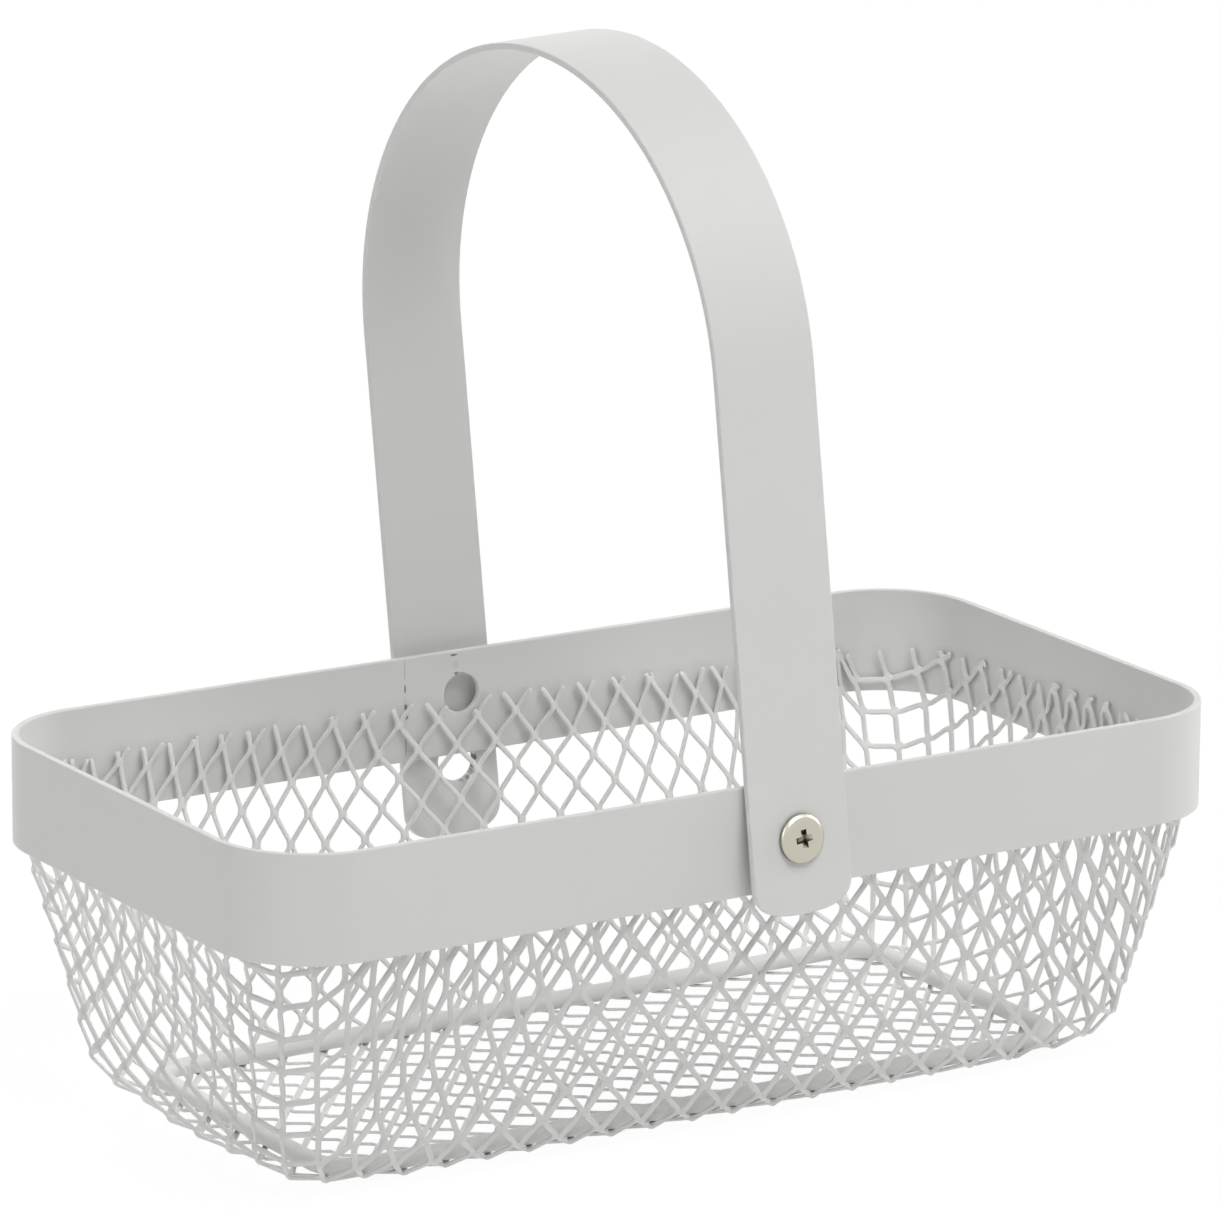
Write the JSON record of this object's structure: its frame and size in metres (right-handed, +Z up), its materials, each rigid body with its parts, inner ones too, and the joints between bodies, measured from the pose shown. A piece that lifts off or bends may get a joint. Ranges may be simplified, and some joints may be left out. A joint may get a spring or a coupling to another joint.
{
  "type": "basket",
  "caption": "Rectangular metal basket with an expanded mesh tray, a flat rim band, a bar ring on its floor and a strap handle that swings on a screw.",
  "frame": {"origin": "middle of the flat mesh floor's underside, on the surface that the basket stands on", "axes": "+Z up, +X along the basket's length, -Y towards the side whose pivot screw is fitted"},
  "size_m": [0.305, 0.184, 0.2853],
  "materials": {
    "powder_coat": "satin white powder coat",
    "nickel_plate": "satin nickel plate"
  },
  "bodies": {
    "basket": {"rim_band": "powder_coat", "mesh_basket": "powder_coat", "base_ring": "powder_coat", "pivot_screw": "nickel_plate", "sleeve_nut": "nickel_plate"},
    "handle": {"handle_strap": "powder_coat"}
  },
  "joints": [
    {"name": "handle_swing", "type": "hinge", "parent": "basket", "child": "handle", "pos_m": [0.006, -0.08348, 0.086], "axis": [0, 0.9939, -0.1106], "range_deg": [-103, 109]}
  ]
}
